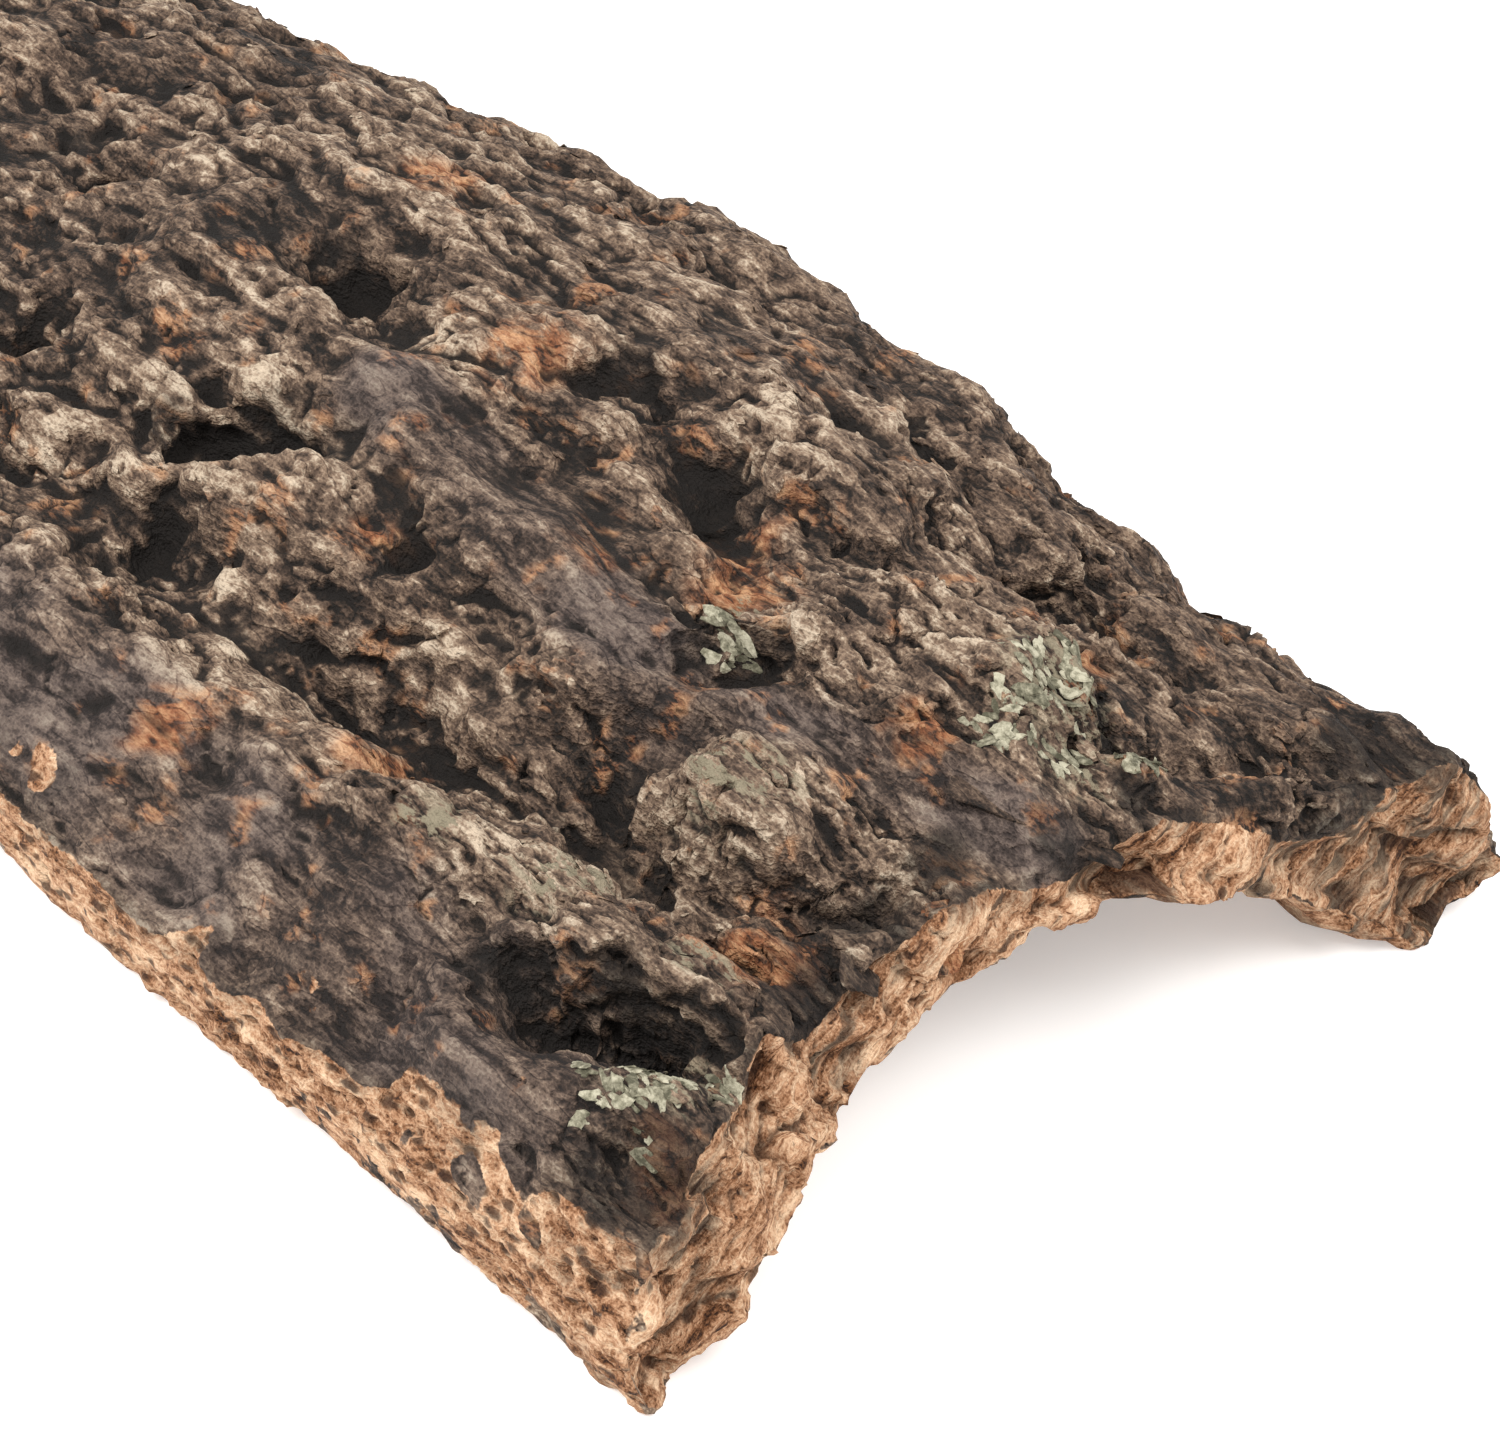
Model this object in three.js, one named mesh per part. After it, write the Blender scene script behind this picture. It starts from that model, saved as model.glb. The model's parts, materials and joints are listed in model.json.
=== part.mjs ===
// Cork bark slab: a curved slab of virgin cork oak bark, lying arched with its rough bark side up.
// Millimetres, +Z up, +X towards the torn end, +Y towards the flank where the bark rolls down.
// The origin is the middle of the slab's footprint, on the surface that it lies on.

import * as THREE from "three";
import { ImprovedNoise } from "three/addons/math/ImprovedNoise.js";

const { clamp, lerp, smoothstep, degToRad } = THREE.MathUtils;

// Overall size
const tornEndX = 258;
const sawnEndX = -262;
const slabLength = tornEndX - sawnEndX;
const thinnestCork = 7; // left under the deepest pits
const levelledOff = 3; // height taken off the inner face, which leaves flat feet under both rims
const feetX = [-236, -75, 95, 236]; // middles of the feet
const footReach = 20;
const footThickening = 6;

// Grid that the surfaces are made on. The inner face has half as many cells each way.
const cellsAlong = 88;
const cellsAcross = 44;
const layers = 4;
const nearCellShare = 0.66; // cells at the torn end are this long, as a share of the mean

// Cross-sections of the arch as [y, z], from the sawn flank at -Y to the rolled flank at +Y
const sections = [
  {
    x: -262,
    bark: [[-109, 28], [-86, 38], [-58, 43], [-26, 49], [12, 54], [48, 55], [84, 49], [108, 35], [117, 6]],
    inner: [[-104, 0], [-82, 11], [-55, 21], [-26, 28], [8, 33], [42, 33], [72, 22], [87, 7], [95, 0]],
  },
  {
    x: -130,
    bark: [[-113, 30], [-89, 40], [-58, 47], [-24, 53], [14, 58], [52, 59], [90, 51], [113, 36], [121, 7]],
    inner: [[-108, 0], [-84, 12], [-56, 23], [-24, 32], [10, 38], [46, 39], [76, 29], [93, 9], [100, 0]],
  },
  {
    x: -20,
    bark: [[-115, 29], [-89, 40], [-57, 49], [-22, 58], [16, 64], [56, 67], [94, 61], [117, 50], [124, 8]],
    inner: [[-111, 0], [-85, 14], [-54, 25], [-22, 36], [12, 43], [50, 46], [80, 37], [97, 13], [103, 0]],
  },
  {
    x: 80,
    bark: [[-115, 26], [-89, 38], [-57, 47], [-22, 56], [16, 64], [54, 67], [91, 61], [115, 50], [122, 7]],
    inner: [[-111, 0], [-84, 13], [-54, 24], [-22, 34], [12, 41], [48, 43], [78, 33], [94, 11], [101, 0]],
  },
  {
    x: 175,
    bark: [[-113, 23], [-91, 37], [-62, 42], [-28, 47], [10, 54], [48, 57], [84, 51], [111, 38], [121, 6]],
    inner: [[-110, 0], [-85, 11], [-58, 22], [-26, 29], [8, 36], [44, 37], [73, 25], [91, 8], [99, 0]],
  },
  {
    x: 258,
    bark: [[-112, 23], [-90, 33], [-63, 37], [-30, 39], [8, 44], [45, 46], [82, 41], [111, 34], [124, 7]],
    inner: [[-109, 0], [-86, 12], [-60, 23], [-30, 30], [5, 36], [40, 36], [67, 22], [89, 7], [99, 0]],
  },
];

// How far the torn end stops short of tornEndX, evenly spaced from the sawn flank to the rolled one
const tornBark = [-3, -9, -13, -18, -27, -31, -33, -34, -32, -28, -24, -19, -13, -9, -6, -2, 0];
const tornInner = [0, -6, -5, -8, -13, -19, -27, -27, -26, -24, -9, -14, -12, -7, -2, 0, 0];
const tornReach = 110; // cells give way to the tear from this far back

// Ridges and furrows of the bark: [x, y, height] along the line, and how far each one spreads
// on its +Y side and on its -Y side
const lineFeatures = [
  // long smooth ridge beside the sawn flank
  {
    line: [[-170, -86, 3], [-60, -82, 5], [57, -73, 6], [110, -71, 7], [178, -60, 7], [232, -54, 5]],
    spread: [13, 28],
  },
  // furrow on the inner side of that ridge, widening to a basin
  {
    line: [[-210, -66, -7], [-60, -62, -9], [22, -59, -11], [60, -60, -11], [90, -57, -13]],
    spread: [20, 9],
  },
  { line: [[90, -57, -13], [111, -56, -15], [135, -54, -13], [163, -46, -10]], spread: [36, 9] },
  { line: [[163, -46, -10], [182, -46, -10], [205, -46, -9], [238, -44, -7]], spread: [12, 9] },
  // the ridge forks near its end, with a dark crevice below the upper fork
  { line: [[176, -92, 3], [192, -94, 9], [207, -92, 10], [222, -84, 10], [242, -75, 6]], spread: [10, 15] },
  { line: [[172, -76, 3], [186, -70, 7], [203, -65, 8], [219, -60, 7], [232, -55, 4]], spread: [11, 7] },
  { line: [[182, -85, -8], [200, -79, -15], [213, -72, -15], [226, -66, -9]], spread: [6, 8] },
  // central ridge, smooth and purple-grey
  {
    line: [[-60, 6, 3], [-9, 10, 5], [37, 3, 7], [87, -9, 7], [106, -11, 6], [132, -15, 4]],
    spread: [15, 20],
  },
  { line: [[132, -15, 4], [157, 2, 3], [171, 13, 4], [190, 20, 6], [216, 22, 4]], spread: [10, 12] },
  // narrow hollow between the central ridge and the plates beyond it
  {
    line: [[62, 42, -6], [78, 46, -13], [92, 42, -14], [109, 31, -15], [129, 21, -13], [142, 13, -5]],
    spread: [11, 9],
  },
  // plates beyond the hollow, rising to the peak
  {
    line: [[-90, 45, 3], [-3, 39, 4], [26, 39, 4], [58, 53, 4], [98, 56, 6], [128, 58, 5], [150, 58, 3]],
    spread: [24, 13],
  },
  { line: [[150, 36, 5], [168, 42, 13], [180, 48, 16], [191, 47, 15], [204, 50, 6]], spread: [12, 27] },
  // shaded hollow behind the peak
  { line: [[146, 68, -8], [164, 77, -14], [184, 82, -10], [204, 86, -3]], spread: [10, 14] },
  // dark crevice between two ledges
  { line: [[130, 0, 3], [144, 8, 6], [161, 23, 6]], spread: [8, 5] },
  { line: [[139, -8, -9], [151, 1, -13], [164, 12, -11]], spread: [5, 6] },
  { line: [[148, -14, 4], [161, -5, 6], [174, 4, 4]], spread: [5, 9] },
  // column of flakes, and the slot that parts it from the scaly boss
  { line: [[116, -33, 1], [129, -37, 6], [147, -42, 8], [163, -51, 7]], spread: [6, 11] },
  { line: [[149, -32, -9], [160, -41, -16], [172, -47, -13]], spread: [5, 5] },
  // crevice on the near side of the scaly boss
  { line: [[180, -40, -8], [192, -34, -12], [206, -22, -11], [214, -8, -5]], spread: [7, 9] },
  // crevice between the peak and the torn end
  { line: [[206, 36, -4], [219, 57, -8], [228, 74, -5]], spread: [6, 6] },
  // lip of the long cavity
  { line: [[-6, -47, 4], [16, -38, 6], [31, -32, 6], [44, -22, 4]], spread: [6, 10] },
];

// Pits and bosses of the bark: [x, y, half length, half width, turn in degrees, height, level share]
const spotFeatures = [
  [180, -22, 27, 20, -20, 12, 0.3], // scaly boss
  [66, -60, 10, 9, 0, 8, 0.3], // boulder-like scale in the furrow
  [187, 30, 13, 11, 30, 4, 0],
  [28, -57, 16, 10, 10, -15, 0.3], // deep hole in the furrow
  [71, -24, 9, 7, 0, -12, 0.2],
  [15, -26, 23, 9, 24, -14, 0.4], // long cavity
  [-12, 26, 18, 10, -18, -15, 0.3], // knot hole
  [-98, 14, 14, 9, 10, -15, 0.3],
  [86, -55, 11, 8, 0, -7, 0.2],
  [-60, -30, 18, 10, 15, -9, 0.2],
  [-104, 62, 10, 8, 0, -8, 0.2],
  [17, 112, 34, 16, 0, 3, 0.2], // humps and steps of the rolled flank
  [-88, 110, 10, 12, 0, -6, 0],
  [-49, 112, 8, 12, 0, -7, 0.1],
  [-150, 112, 26, 15, 0, 2, 0.2],
  [240, 112, 16, 14, 0, 3, 0.2],
  [206, 104, 11, 13, 20, -4, 0.1],
  [-196, -20, 20, 12, 20, -10, 0.2],
  [-214, 52, 24, 12, -10, -9, 0.2],
  [-170, 30, 30, 14, 15, 5, 0.1],
];

// Lichens on the bark: [name, x, y, radius, lobes, stretch along the slab]
const lichens = [
  ["lichen_crest", 199, 42, 11, 7, 1.1],
  ["lichen_ledge", 146, 10, 5, 5, 1.2],
  ["lichen_fork", 222, -83, 11, 6, 1.3],
  ["lichen_lobe", 222, 47, 6, 5, 1.2],
];
const lichenGap = 0.5;
const lichenBridge = 2; // it spans dips in the bark that are narrower than twice this
const lichenThickness = 1.1;
const lichenRings = 5;
const lichenSteps = 28;

const noise = new ImprovedNoise();

// Smooth noise from -1 to 1 with bumps of about the given sizes along each axis
function rough(x, y, sizeX, sizeY, seed) {
  return noise.noise(x / sizeX + 11.3, y / sizeY + 5.7, seed * 7.31);
}

function catmullRom(a, b, c, d, t) {
  const startSlope = (c - a) / 2;
  const endSlope = (d - b) / 2;
  const cubic = 2 * b - 2 * c + startSlope + endSlope;
  const square = 3 * c - 3 * b - 2 * startSlope - endSlope;
  return cubic * t ** 3 + square * t ** 2 + startSlope * t + b;
}

// A smooth value through evenly spaced values, at a share of the way through them
function along(values, share) {
  const last = values.length - 1;
  const place = clamp(share, 0, 1) * last;
  const i = Math.min(Math.floor(place), last - 1);
  const at = (k) => values[clamp(k, 0, last)];
  return catmullRom(at(i - 1), at(i), at(i + 1), at(i + 2), place - i);
}

// The plain arch: the point of one face at x, at a share v of the way across
function archPoint(face, x, v) {
  const last = sections.length - 1;
  const i = clamp(sections.findIndex((section) => section.x > x) - 1, 0, last - 1);
  const near = x > sections[last].x ? last - 1 : i;
  const t = clamp((x - sections[near].x) / (sections[near + 1].x - sections[near].x), 0, 1);
  const [y, z] = [0, 1].map((axis) => {
    const at = (k) => along(sections[clamp(k, 0, last)][face].map((point) => point[axis]), v);
    return catmullRom(at(near - 1), at(near), at(near + 1), at(near + 2), t);
  });
  return new THREE.Vector3(x, y, z);
}

function barkNormal(x, v) {
  const alongSlab = archPoint("bark", x + 2, v).sub(archPoint("bark", x - 2, v));
  const acrossSlab = archPoint("bark", x, v + 0.01).sub(archPoint("bark", x, v - 0.01));
  return alongSlab.cross(acrossSlab).normalize();
}

function lineRelief({ line, spread }, x, y) {
  let nearest = { distance: Infinity };
  for (let i = 1; i < line.length; i++) {
    const [x0, y0, height0] = line[i - 1];
    const [x1, y1, height1] = line[i];
    const dx = x1 - x0;
    const dy = y1 - y0;
    const t = clamp(((x - x0) * dx + (y - y0) * dy) / (dx * dx + dy * dy), 0, 1);
    const distance = Math.hypot(x - x0 - t * dx, y - y0 - t * dy);
    const side = dx * (y - y0) > dy * (x - x0) ? 0 : 1;
    if (distance < nearest.distance) nearest = { distance, side, height: lerp(height0, height1, t) };
  }
  return nearest.height * (1 - smoothstep(nearest.distance, 0, spread[nearest.side]));
}

function spotRelief([spotX, spotY, halfLength, halfWidth, turn, height, level], x, y) {
  const angle = degToRad(turn);
  const dx = x - spotX;
  const dy = y - spotY;
  const p = (dx * Math.cos(angle) + dy * Math.sin(angle)) / halfLength;
  const q = (dy * Math.cos(angle) - dx * Math.sin(angle)) / halfWidth;
  return height * (1 - smoothstep(Math.hypot(p, q), level, 1));
}

// Height of the bark above the plain arch
function barkRelief(x, y) {
  // the features wander a little, so that none of them is a clean curve
  const px = x + 5 * rough(x, y, 17, 17, 1) + 2.5 * rough(x, y, 8, 8, 2);
  const py = y + 4 * rough(x, y, 17, 17, 3) + 2.5 * rough(x, y, 8, 8, 4);
  let height = 0;
  for (const feature of lineFeatures) height += lineRelief(feature, px, py);
  for (const spot of spotFeatures) height += spotRelief(spot, px, py);
  const swell = 3.5 * rough(x, y, 60, 38, 5);
  const fissures = -4.5 * Math.max(0, 1 - 4 * Math.abs(rough(px, py, 34, 19, 6)));
  const scales = 3.2 * rough(px, py, 19, 12, 7) + 2 * rough(px, py, 9, 8, 8);
  return height + swell + fissures + scales + 1.5;
}

function lengthAt(u) {
  const back = 1 - u;
  return tornEndX - slabLength * (nearCellShare * back + (1 - nearCellShare) * back * back);
}

// A point of the slab: u along it, v across it, w through it from the bark to the inner face
function slabPoint(u, v, w) {
  const x = lengthAt(u);
  const giveWay = smoothstep(x, tornEndX - tornReach, tornEndX);
  const barkX = x + along(tornBark, v) * giveWay;
  const innerX = x + along(tornInner, v) * giveWay;
  const inner = archPoint("inner", innerX, v);
  const awayFromRim = smoothstep(Math.min(v, 1 - v), 0, 0.14);
  const wave = 2 * rough(innerX, inner.y, 50, 24, 9) + 0.8 * rough(innerX, inner.y, 22, 9, 10);
  const toFoot = Math.min(...feetX.map((footX) => Math.abs(innerX - footX)));
  const betweenFeet = smoothstep(toFoot, footReach, 2 * footReach);
  const rimGap = betweenFeet * (4.5 + 3 * rough(innerX, inner.y, 30, 300, 11));
  const footDrop = footThickening * (1 - betweenFeet) * (1 - awayFromRim);
  inner.z = Math.max(0, inner.z - levelledOff + awayFromRim * wave + rimGap - footDrop);
  const outer = archPoint("bark", barkX, v);
  const thickness = outer.distanceTo(inner);
  const relief = Math.max(barkRelief(outer.x, outer.y), thinnestCork - thickness);
  const flankFade = smoothstep(v, 0, 0.06);
  const direction = new THREE.Vector3(0, 0, 1).lerp(barkNormal(barkX, v), flankFade).normalize();
  outer.addScaledVector(direction, relief * lerp(0.45, 1, flankFade) * lerp(1, 0.6, smoothstep(v, 0.9, 1)));
  outer.z = Math.max(outer.z, 2);
  const point = outer.lerp(inner, w);
  const insideWall = Math.sin(Math.PI * w);
  if (v === 0) point.y += insideWall * (1.6 * rough(x, point.z, 13, 8, 12) - 0.8);
  if (u === 1) point.x += insideWall * (5 * rough(point.y, point.z, 14, 9, 13) - 1.5);
  if (u === 0) point.x += insideWall * 1.5 * rough(point.y, point.z, 20, 12, 14);
  return point;
}

function buildMesh(name, points, indices, material) {
  const geometry = new THREE.BufferGeometry();
  geometry.setAttribute("position", new THREE.Float32BufferAttribute(points, 3));
  geometry.setIndex(indices);
  geometry.computeVertexNormals();
  const mesh = new THREE.Mesh(geometry, material);
  mesh.name = name;
  return mesh;
}

function buildSlab(material) {
  const points = [];
  const indices = [];
  const numberOf = new Map();
  const vertex = (i, j, k) => {
    const key = `${i},${j},${k}`;
    if (!numberOf.has(key)) {
      numberOf.set(key, points.length / 3);
      points.push(...slabPoint(i / cellsAlong, j / cellsAcross, k / layers).toArray());
    }
    return numberOf.get(key);
  };
  const quad = (a, b, c, d) => indices.push(a, b, c, a, c, d);
  for (let i = 0; i < cellsAlong; i++) {
    for (let j = 0; j < cellsAcross; j++) {
      quad(vertex(i, j, 0), vertex(i + 1, j, 0), vertex(i + 1, j + 1, 0), vertex(i, j + 1, 0));
    }
  }
  // a double cell of the inner face, with a vertex halfway along any side that lies on the edge of the slab
  const innerCell = (i, j) => {
    const corners = [[i, j], [i, j + 2], [i + 2, j + 2], [i + 2, j]];
    const outline = [];
    corners.forEach(([a, b], side) => {
      const [c, d] = corners[(side + 1) % 4];
      outline.push(vertex(a, b, layers));
      const onEnd = a === c && a % cellsAlong === 0;
      const onFlank = b === d && b % cellsAcross === 0;
      if (onEnd || onFlank) outline.push(vertex((a + c) / 2, (b + d) / 2, layers));
    });
    const hub = outline.indexOf(vertex(i === 0 ? 2 : i, j === 0 ? 2 : j, layers));
    for (let k = 1; k < outline.length - 1; k++) {
      indices.push(...[0, k, k + 1].map((step) => outline[(hub + step) % outline.length]));
    }
  };
  for (let i = 0; i < cellsAlong; i += 2) {
    for (let j = 0; j < cellsAcross; j += 2) innerCell(i, j);
  }
  const wall = (steps, at) => {
    for (let s = 0; s < steps; s++) {
      for (let k = 0; k < layers; k++) quad(at(s, k), at(s, k + 1), at(s + 1, k + 1), at(s + 1, k));
    }
  };
  wall(cellsAlong, (s, k) => vertex(s, 0, k));
  wall(cellsAlong, (s, k) => vertex(cellsAlong - s, cellsAcross, k));
  wall(cellsAcross, (s, k) => vertex(cellsAlong, s, k));
  wall(cellsAcross, (s, k) => vertex(0, cellsAcross - s, k));
  return buildMesh("cork_slab", points, indices, material);
}

// The share from 0 to 1 at which a rising measure reaches its aim
function solve(measure, aim) {
  let low = 0;
  let high = 1;
  for (let step = 0; step < 24; step++) {
    const middle = (low + high) / 2;
    if (measure(middle) < aim) low = middle;
    else high = middle;
  }
  return low;
}

const barkCorners = new Map();

function barkCorner(i, j) {
  const key = `${i},${j}`;
  if (!barkCorners.has(key)) barkCorners.set(key, slabPoint(i / cellsAlong, j / cellsAcross, 0));
  return barkCorners.get(key);
}

// The facetted bark as it was made, at u and v
function facetPoint(u, v) {
  const i = Math.min(Math.floor(u * cellsAlong), cellsAlong - 1);
  const j = Math.min(Math.floor(v * cellsAcross), cellsAcross - 1);
  const s = u * cellsAlong - i;
  const t = v * cellsAcross - j;
  const [start, end] = [barkCorner(i, j), barkCorner(i + 1, j + 1)];
  const side = s > t ? barkCorner(i + 1, j) : barkCorner(i, j + 1);
  const point = start.clone().multiplyScalar(1 - Math.max(s, t));
  point.addScaledVector(end, Math.min(s, t));
  return point.addScaledVector(side, Math.abs(s - t));
}

// The highest that the bark reaches within a small step of u and v
function highestNear(u, v, perU, perV) {
  const heights = [facetPoint(u, v).z];
  for (let turn = 0; turn < 8; turn++) {
    const angle = (turn * Math.PI) / 4;
    const nearU = u + (lichenBridge * Math.cos(angle)) / perU;
    const nearV = v + (lichenBridge * Math.sin(angle)) / perV;
    heights.push(facetPoint(nearU, nearV).z);
  }
  return Math.max(...heights);
}

// A thin lobed rosette that follows the bark just above it
function buildLichen([name, x, y, radius, lobes, stretch], material) {
  const points = [];
  const indices = [];
  let middleU = 0.9;
  let middleV = 0.5;
  for (let round = 0; round < 4; round++) {
    middleU = solve((u) => slabPoint(u, middleV, 0).x, x);
    middleV = solve((v) => slabPoint(middleU, v, 0).y, y);
  }
  const perU = (slabPoint(middleU + 0.01, middleV, 0).x - slabPoint(middleU, middleV, 0).x) / 0.01;
  const perV = (slabPoint(middleU, middleV + 0.01, 0).y - slabPoint(middleU, middleV, 0).y) / 0.01;
  const rim = (step) => {
    const angle = (2 * Math.PI * step) / lichenSteps;
    const uneven = rough(40 * Math.cos(angle), 40 * Math.sin(angle), 30, 30, x);
    return radius * (1 + 0.22 * Math.cos(lobes * angle) + 0.3 * uneven);
  };
  const add = (ring, step, side) => {
    const angle = (2 * Math.PI * step) / lichenSteps;
    const reach = (rim(step) * ring) / lichenRings;
    const u = middleU + (reach * stretch * Math.cos(angle)) / perU;
    const v = middleV + (reach * Math.sin(angle)) / perV;
    const point = facetPoint(u, v);
    point.z = highestNear(u, v, perU, perV) + lichenGap + side * lichenThickness;
    points.push(...point.toArray());
  };
  for (const side of [0, 1]) {
    add(0, 0, side);
    for (let ring = 1; ring <= lichenRings; ring++) {
      for (let step = 0; step < lichenSteps; step++) add(ring, step, side);
    }
  }
  const sideSize = 1 + lichenRings * lichenSteps;
  const at = (ring, step, side) => {
    const ringStart = 1 + (ring - 1) * lichenSteps;
    return side * sideSize + (ring === 0 ? 0 : ringStart + (step % lichenSteps));
  };
  for (let step = 0; step < lichenSteps; step++) {
    indices.push(at(0, 0, 1), at(1, step, 1), at(1, step + 1, 1));
    indices.push(at(0, 0, 0), at(1, step + 1, 0), at(1, step, 0));
    for (let ring = 1; ring < lichenRings; ring++) {
      const a = at(ring, step, 1);
      const b = at(ring + 1, step, 1);
      const c = at(ring + 1, step + 1, 1);
      const d = at(ring, step + 1, 1);
      indices.push(a, b, c, a, c, d);
      const below = [a, b, c, d].map((number) => number - sideSize);
      indices.push(below[0], below[2], below[1], below[0], below[3], below[2]);
    }
    const [a, b] = [at(lichenRings, step, 0), at(lichenRings, step + 1, 0)];
    indices.push(a, b, b + sideSize, a, b + sideSize, a + sideSize);
  }
  return buildMesh(name, points, indices, material);
}

const barkMaterial = new THREE.MeshStandardMaterial({ color: 0x6b5b4e, roughness: 0.95, metalness: 0 });
const lichenMaterial = new THREE.MeshStandardMaterial({ color: 0x9a9a80, roughness: 0.9, metalness: 0 });

const part = new THREE.Group();
part.add(buildSlab(barkMaterial));
for (const lichen of lichens) part.add(buildLichen(lichen, lichenMaterial));
// the sizes above are measured from near the middle, so the whole slab moves over its origin at the end
const middle = new THREE.Box3().setFromObject(part).getCenter(new THREE.Vector3());
for (const mesh of part.children) mesh.geometry.translate(-middle.x, -middle.y, 0);
export default part;
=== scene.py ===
import json
import math
import random
import bpy
import numpy as np
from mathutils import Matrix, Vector, noise as perlin

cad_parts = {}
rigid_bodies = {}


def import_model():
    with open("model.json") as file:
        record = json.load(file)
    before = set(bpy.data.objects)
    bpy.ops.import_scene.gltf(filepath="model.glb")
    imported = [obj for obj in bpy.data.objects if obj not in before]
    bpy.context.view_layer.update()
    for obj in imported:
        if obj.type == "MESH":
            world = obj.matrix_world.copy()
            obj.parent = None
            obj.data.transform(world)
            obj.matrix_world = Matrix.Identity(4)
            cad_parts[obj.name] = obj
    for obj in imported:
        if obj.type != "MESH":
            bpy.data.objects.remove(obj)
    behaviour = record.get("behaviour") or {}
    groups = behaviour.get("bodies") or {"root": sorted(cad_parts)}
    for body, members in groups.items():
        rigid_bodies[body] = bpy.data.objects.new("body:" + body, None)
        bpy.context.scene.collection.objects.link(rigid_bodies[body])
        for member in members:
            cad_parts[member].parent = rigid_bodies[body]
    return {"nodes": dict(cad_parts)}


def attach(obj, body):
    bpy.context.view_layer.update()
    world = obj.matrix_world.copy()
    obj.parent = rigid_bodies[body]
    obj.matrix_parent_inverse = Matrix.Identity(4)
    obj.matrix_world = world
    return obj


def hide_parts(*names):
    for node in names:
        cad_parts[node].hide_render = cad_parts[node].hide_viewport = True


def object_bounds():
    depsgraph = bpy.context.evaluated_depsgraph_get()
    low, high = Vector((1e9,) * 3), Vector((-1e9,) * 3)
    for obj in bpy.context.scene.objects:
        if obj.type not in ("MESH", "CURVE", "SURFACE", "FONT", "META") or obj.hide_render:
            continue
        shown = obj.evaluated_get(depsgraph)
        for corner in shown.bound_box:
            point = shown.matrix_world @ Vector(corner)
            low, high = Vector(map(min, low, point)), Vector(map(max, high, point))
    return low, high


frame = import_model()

cadLow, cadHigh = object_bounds()
scene = bpy.context.scene
# noise_vector draws its offsets from the clock unless it is seeded
perlin.seed_set(7)


# picking, copying and reading meshes

def pick(*objects):
    bpy.ops.object.select_all(action="DESELECT")
    for obj in objects:
        obj.select_set(True)
    bpy.context.view_layer.objects.active = objects[0]


def applyModifier(obj, kind, name, **settings):
    pick(obj)
    modifier = obj.modifiers.new(name, kind)
    for key, value in settings.items():
        setattr(modifier, key, value)
    bpy.ops.object.modifier_apply(modifier=modifier.name)


def copyOfNode(nodeName, newName):
    obj = bpy.data.objects.new(newName, frame["nodes"][nodeName].data.copy())
    obj.data.materials.clear()
    scene.collection.objects.link(obj)
    pick(obj)
    bpy.ops.object.mode_set(mode="EDIT")
    bpy.ops.mesh.select_all(action="SELECT")
    bpy.ops.mesh.remove_doubles(threshold=0.00002)
    bpy.ops.object.mode_set(mode="OBJECT")
    return obj


def readVectors(mesh, what):
    flat = np.empty(len(mesh.vertices) * 3, np.float32)
    mesh.vertices.foreach_get(what, flat)
    return flat.reshape(-1, 3).astype(np.float64)


def giveAttribute(mesh, name, values):
    layer = mesh.attributes.get(name) or mesh.attributes.new(name, "FLOAT", "POINT")
    layer.data.foreach_set("value", values.astype(np.float32))


def readAttribute(mesh, name):
    values = np.empty(len(mesh.vertices), np.float32)
    mesh.attributes[name].data.foreach_get("value", values)
    return values.astype(np.float64)


def giveGroup(obj, name, values):
    group = obj.vertex_groups.get(name) or obj.vertex_groups.new(name=name)
    steps = 16
    levels = np.round(np.clip(values, 0, 1) * steps).astype(int)
    for level in range(1, steps + 1):
        chosen = np.nonzero(levels == level)[0]
        if len(chosen):
            group.add(chosen.tolist(), level / steps, "REPLACE")


def averageOut(mesh, values, rounds):
    pairs = np.empty(len(mesh.edges) * 2, np.int32)
    mesh.edges.foreach_get("vertices", pairs)
    a, b = pairs.reshape(-1, 2).T
    size = len(values)
    count = np.maximum(np.bincount(a, minlength=size) + np.bincount(b, minlength=size), 1)
    columns = []
    for column in values.reshape(size, -1).T:
        for _ in range(rounds):
            total = np.bincount(a, column[b], size) + np.bincount(b, column[a], size)
            column = 0.4 * column + 0.6 * total / count
        columns.append(column)
    return np.stack(columns, axis=1).reshape(values.shape)


def fade(values, low, high):
    t = np.clip((values - low) / (high - low), 0, 1)
    return t * t * (3 - 2 * t)


# node building

def colour(code):
    channels = [int(code[i:i + 2], 16) / 255 for i in (1, 3, 5)]
    return [c / 12.92 if c <= 0.04045 else ((c + 0.055) / 1.055) ** 2.4 for c in channels] + [1.0]


def newMaterial(name):
    material = bpy.data.materials.new(name)
    material.use_nodes = True
    tree = material.node_tree
    shader = tree.nodes["Principled BSDF"]
    return material, tree, shader


def link(tree, source, target):
    if hasattr(source, "is_output"):
        tree.links.new(source, target)
    else:
        target.default_value = source


def placeOn(tree, stretch=(1, 1, 1), turn=(0, 0, 0)):
    where = tree.nodes.new("ShaderNodeTexCoord")
    mapping = tree.nodes.new("ShaderNodeMapping")
    mapping.vector_type = "TEXTURE"
    mapping.inputs["Scale"].default_value = [1 / s for s in stretch]
    mapping.inputs["Rotation"].default_value = turn
    tree.links.new(where.outputs["Object"], mapping.inputs["Vector"])
    return mapping.outputs["Vector"]


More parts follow.
